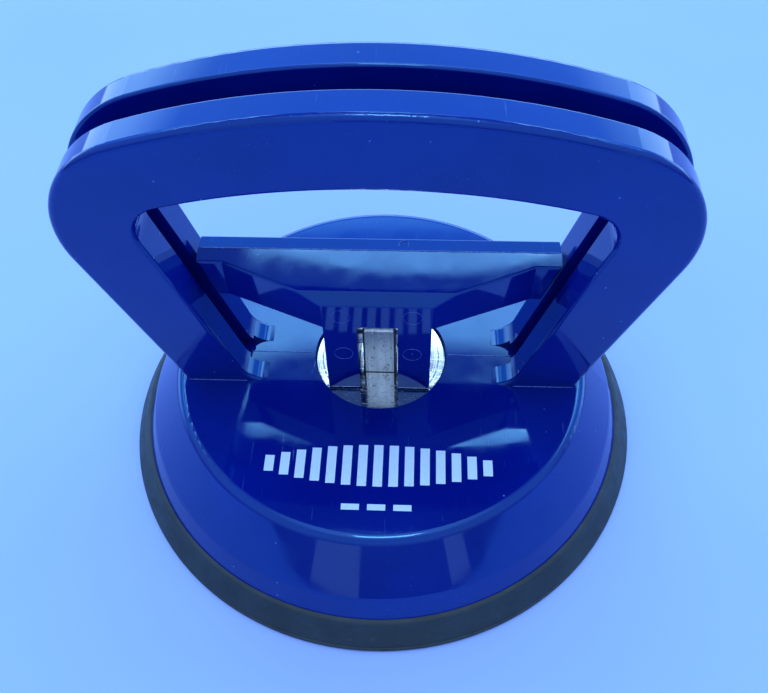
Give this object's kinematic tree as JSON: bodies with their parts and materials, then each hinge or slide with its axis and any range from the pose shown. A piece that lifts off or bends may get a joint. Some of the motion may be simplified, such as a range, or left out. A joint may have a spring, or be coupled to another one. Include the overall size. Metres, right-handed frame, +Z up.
{
  "type": "vacuum suction cup",
  "caption": "Hand vacuum lifter: rubber suction cup under a round base with a loop handle and a cam lever that draws up a square stem",
  "frame": {"origin": "on the surface that the cup rests on, at the cup's centre", "axes": "+Z up through the stem, +X along the handle, +Y across the handle on the side to which the lever's grip tips when it is released"},
  "size_m": [0.118, 0.118, 0.0954],
  "materials": {
    "cup_rubber": "matte moulded rubber",
    "blue_plastic": "glossy moulded ABS",
    "polished_steel": "mirror-polished, fine turning marks",
    "stem_steel": "drawn bar, dull, lightly pitted",
    "spring_steel": "oiled spring wire"
  },
  "bodies": {
    "base_unit": {"housing": "blue_plastic", "rubber_cup": "cup_rubber", "wear_disc": "polished_steel", "spring_washer": "stem_steel", "return_spring": "spring_steel"},
    "stem_unit": {"draw_stem": "stem_steel", "insert_plate": "stem_steel"},
    "lever_unit": {"lever": "blue_plastic", "pivot_pin": "stem_steel"}
  },
  "joints": [
    {"name": "stem_slide", "type": "slide", "parent": "base_unit", "child": "stem_unit", "axis": [0, 0, -1], "range_m": [0, 0.003], "deforming": ["return_spring", "rubber_cup"]},
    {"name": "lever_pivot", "type": "hinge", "parent": "stem_unit", "child": "lever_unit", "pos_m": [0, 0, 0.0299], "axis": [-1, 0, 0], "range_deg": [0, 75]}
  ],
  "couplings": [
    {"joint": "lever_pivot", "follows": "stem_slide", "rad_per_m": 436.33}
  ]
}
